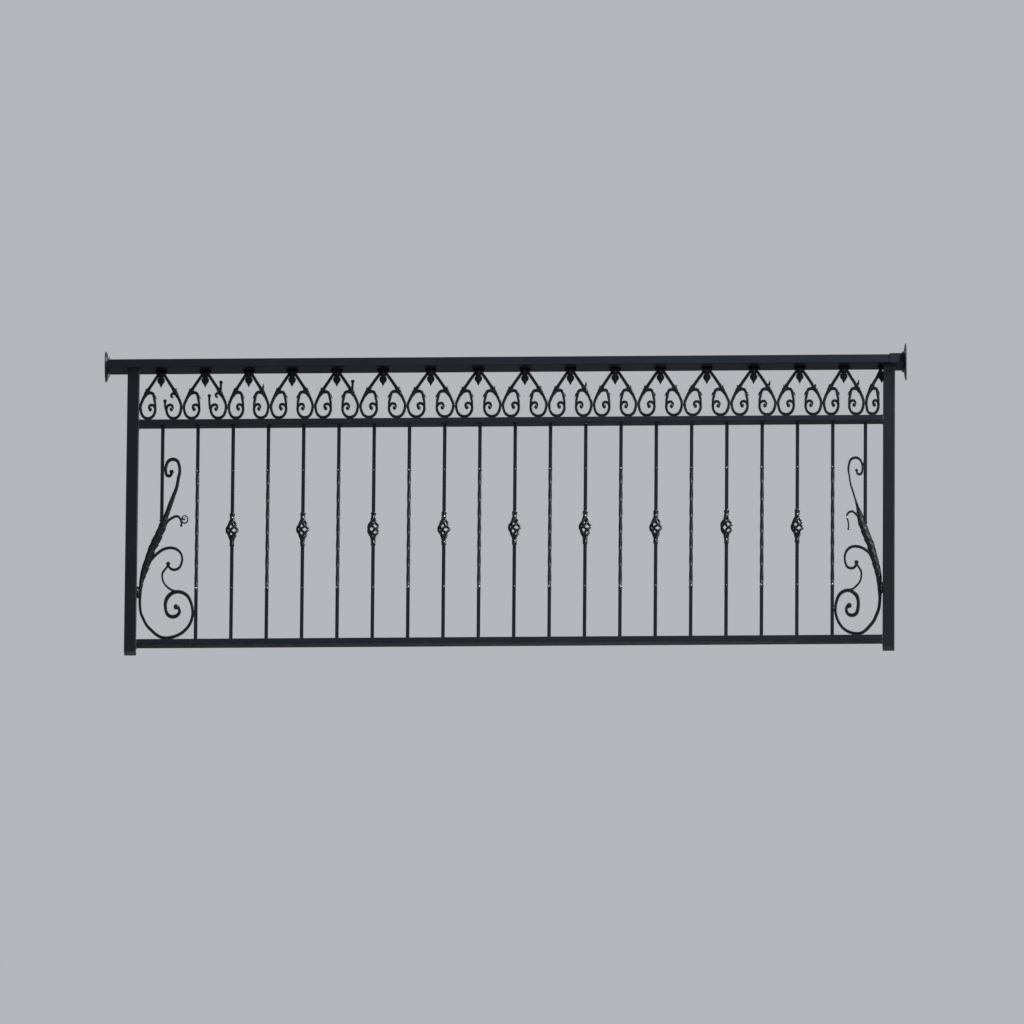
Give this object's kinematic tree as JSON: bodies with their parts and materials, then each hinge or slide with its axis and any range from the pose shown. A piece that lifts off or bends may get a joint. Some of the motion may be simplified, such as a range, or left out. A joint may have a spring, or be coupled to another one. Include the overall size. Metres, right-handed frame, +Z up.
{
  "type": "wrought iron balcony railing",
  "caption": "Straight wrought iron balcony railing with tube rails and posts, twisted bars, basket bars, a heart scroll frieze and leafy S-scroll ends, fixed between walls.",
  "frame": {"origin": "centre of the left post's foot, where it stands on the slab", "axes": "+X along the railing to the right post, -Y to the street side, +Z up"},
  "size_m": [2.729, 0.128, 1.109],
  "materials": {
    "black_paint": "satin"
  },
  "bodies": {
    "root": {"basket_bar_01": "black_paint", "basket_bar_02": "black_paint", "basket_bar_03": "black_paint", "basket_bar_04": "black_paint", "basket_bar_05": "black_paint", "basket_bar_06": "black_paint", "basket_bar_07": "black_paint", "basket_bar_08": "black_paint", "basket_bar_09": "black_paint", "bottom_rail": "black_paint", "frieze_scrolls": "black_paint", "leaf_pendants": "black_paint", "left_end_scroll": "black_paint", "left_post": "black_paint", "left_short_bar": "black_paint", "left_wall_flange": "black_paint", "mid_rail": "black_paint", "right_end_scroll": "black_paint", "right_post": "black_paint", "right_short_bar": "black_paint", "right_wall_flange": "black_paint", "top_rail": "black_paint", "top_rail_sleeve": "black_paint", "twisted_bar_01": "black_paint", "twisted_bar_02": "black_paint", "twisted_bar_03": "black_paint", "twisted_bar_04": "black_paint", "twisted_bar_05": "black_paint", "twisted_bar_06": "black_paint", "twisted_bar_07": "black_paint", "twisted_bar_08": "black_paint", "twisted_bar_09": "black_paint", "twisted_bar_10": "black_paint"}
  },
  "joints": []
}
